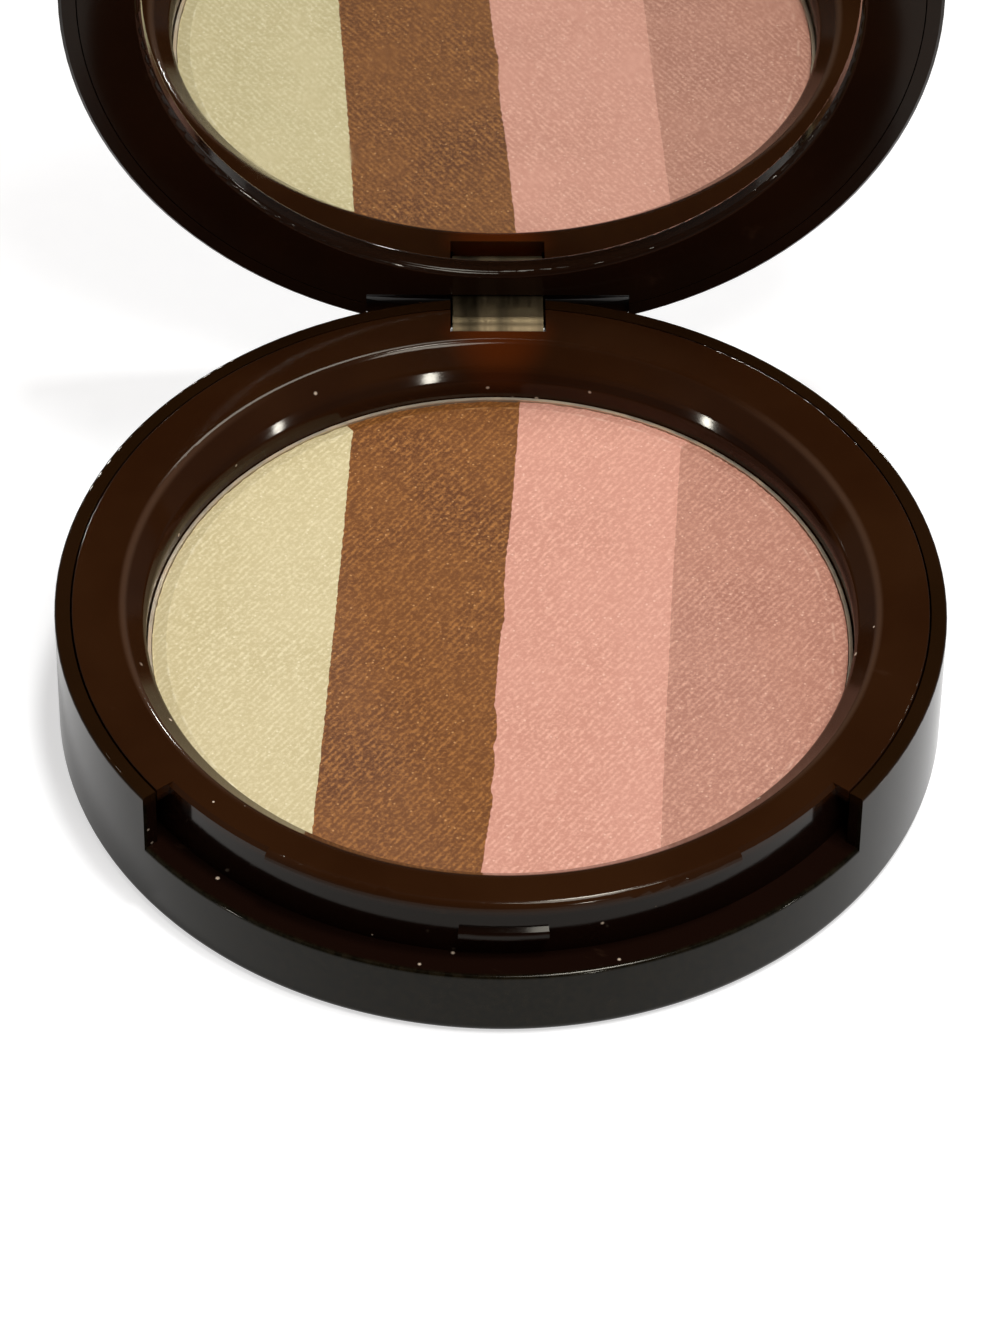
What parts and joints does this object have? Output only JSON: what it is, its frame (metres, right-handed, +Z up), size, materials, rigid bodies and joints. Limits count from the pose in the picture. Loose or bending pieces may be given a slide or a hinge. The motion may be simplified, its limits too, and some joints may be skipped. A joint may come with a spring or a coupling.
{
  "type": "powder compact",
  "caption": "Round hinged makeup compact, lid open, with a mirror in the lid and striped pressed powder in a round pan in the base.",
  "frame": {"origin": "centre of the flat underside of the base", "axes": "+Z up out of the powder, -Y towards the front notch and the catch, +Y towards the hinge, +X to the right seen from the front"},
  "size_m": [0.0746, 0.0798, 0.0826],
  "materials": {
    "case_plastic": "glossy very dark reddish-brown plastic, slightly translucent where it is thin",
    "pan_metal": "thin bare metal, satin",
    "cream_powder": "pressed powder with a cloth imprint and a fine shimmer",
    "bronze_powder": "pressed powder with a cloth imprint and a fine shimmer",
    "pink_powder": "pressed powder with a cloth imprint and a fine shimmer",
    "mauve_powder": "pressed powder with a cloth imprint and a fine shimmer",
    "pin_steel": "plain drawn steel",
    "hinge_metal": "satin metal with fine lines across the hinge",
    "mirror_glass": "silvered glass",
    "tape": "foam adhesive tape"
  },
  "bodies": {
    "base": {"base_shell": "case_plastic", "insert_ring": "case_plastic", "pan_tape": "tape", "powder_pan": "pan_metal", "powder_cream": "cream_powder", "powder_bronze": "bronze_powder", "powder_pink": "pink_powder", "powder_mauve": "mauve_powder", "hinge_pin": "pin_steel"},
    "lid": {"lid_cover": "case_plastic", "mirror_frame": "case_plastic", "mirror": "mirror_glass", "mirror_tape": "tape", "hinge_knuckle": "hinge_metal"}
  },
  "joints": [
    {"name": "lid_hinge", "type": "hinge", "parent": "base", "child": "lid", "pos_m": [0, 0.03495, 0.0104], "axis": [1, 0, 0], "range_deg": [0, 90]}
  ]
}
